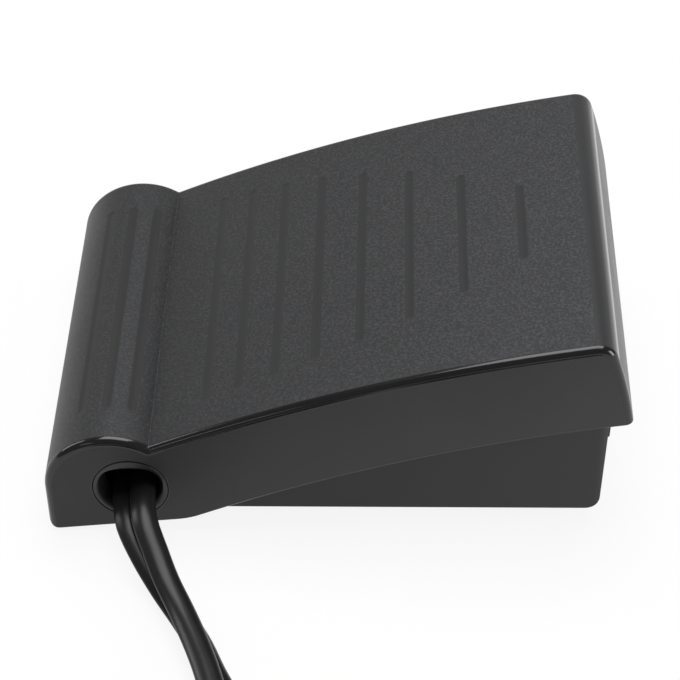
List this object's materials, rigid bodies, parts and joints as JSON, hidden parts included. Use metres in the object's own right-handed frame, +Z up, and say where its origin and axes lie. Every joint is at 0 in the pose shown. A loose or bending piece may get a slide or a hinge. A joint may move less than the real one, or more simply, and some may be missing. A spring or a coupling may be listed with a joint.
{
  "type": "sewing machine foot pedal",
  "caption": "Foot pedal for a sewing machine: a ribbed black treadle that tilts on a heel barrel above a moulded tray, with two flat leads through its pivot bushing.",
  "frame": {"origin": "on the floor, under the middle of the pedal without its leads", "axes": "+X from heel to toe, +Y to the side away from the leads, +Z up"},
  "size_m": [0.1678, 0.2633, 0.0601],
  "materials": {
    "black_abs": "black moulded ABS, fine spark-eroded grain on the tread",
    "black_bushing": "smooth black moulded plastic",
    "cord_pvc": "soft black PVC sheath, slight sheen",
    "plug_pvc": "moulded black PVC",
    "rubber": "black rubber",
    "screw_steel": "zinc-plated steel",
    "spring_steel": "spring wire",
    "pin_steel": "nickel-plated pins",
    "contact_brass": "bare brass",
    "white_acetal": "natural acetal",
    "pot_body": "dark moulded body",
    "board": "green lacquered laminate",
    "terminal_green": "green nylon",
    "fuse_glass": "clear glass tube",
    "ferrite": "yellow lacquered powder-iron core",
    "copper_wire": "enamelled copper wire",
    "film_capacitor": "yellow boxed film capacitor",
    "dipped_capacitor": "dipped film capacitor",
    "triac_epoxy": "black epoxy",
    "sink_aluminium": "extruded aluminium",
    "resistor_paint": "lacquered resistor bodies",
    "core_insulation": "PVC core insulation"
  },
  "bodies": {
    "base": {"base_tray": "black_abs", "rubber_feet": "rubber", "cord_bushing": "black_bushing", "pivot_bushing": "black_bushing", "bushing_screws": "screw_steel", "return_springs": "spring_steel", "bump_stops": "rubber", "plunger_spring": "spring_steel", "potentiometer": "pot_body", "pot_pins": "contact_brass", "circuit_board": "board", "board_screws": "screw_steel", "terminal_block": "terminal_green", "terminal_screws": "screw_steel", "fuse": "fuse_glass", "fuse_clips": "contact_brass", "choke_core": "ferrite", "choke_winding": "copper_wire", "suppression_capacitor": "film_capacitor", "timing_capacitor": "dipped_capacitor", "triac": "triac_epoxy", "heat_sink": "sink_aluminium", "triac_screw": "screw_steel", "resistors": "resistor_paint", "cord_clamp": "black_bushing", "clamp_screws": "screw_steel", "lead_stubs": "cord_pvc", "lead_wires": "core_insulation", "mains_lead": "cord_pvc", "mains_coil": "cord_pvc", "mains_tail": "cord_pvc", "mains_tie": "rubber", "mains_plug": "plug_pvc", "plug_pins": "pin_steel", "machine_lead": "cord_pvc", "machine_coil": "cord_pvc", "machine_tail": "cord_pvc", "machine_tie": "rubber", "machine_connector": "plug_pvc", "connector_contacts": "contact_brass"},
    "treadle": {"treadle_cover": "black_abs", "pusher_pad": "white_acetal"},
    "plunger": {"plunger": "white_acetal", "pot_slider": "white_acetal"}
  },
  "joints": [
    {"name": "treadle_pivot", "type": "hinge", "parent": "base", "child": "treadle", "pos_m": [-0.0494, 0, 0.0145], "axis": [0, 1, 0], "range_deg": [0, 8], "stiffness_Nm_per_rad": 11.5, "springref_deg": -2.01, "deforming": ["return_springs"]},
    {"name": "plunger_slide", "type": "slide", "parent": "base", "child": "plunger", "axis": [0, 0, -1], "range_m": [0, 0.0096], "deforming": ["plunger_spring"]}
  ],
  "couplings": [
    {"joint": "plunger_slide", "follows": "treadle_pivot", "m_per_rad": 0.06744}
  ]
}
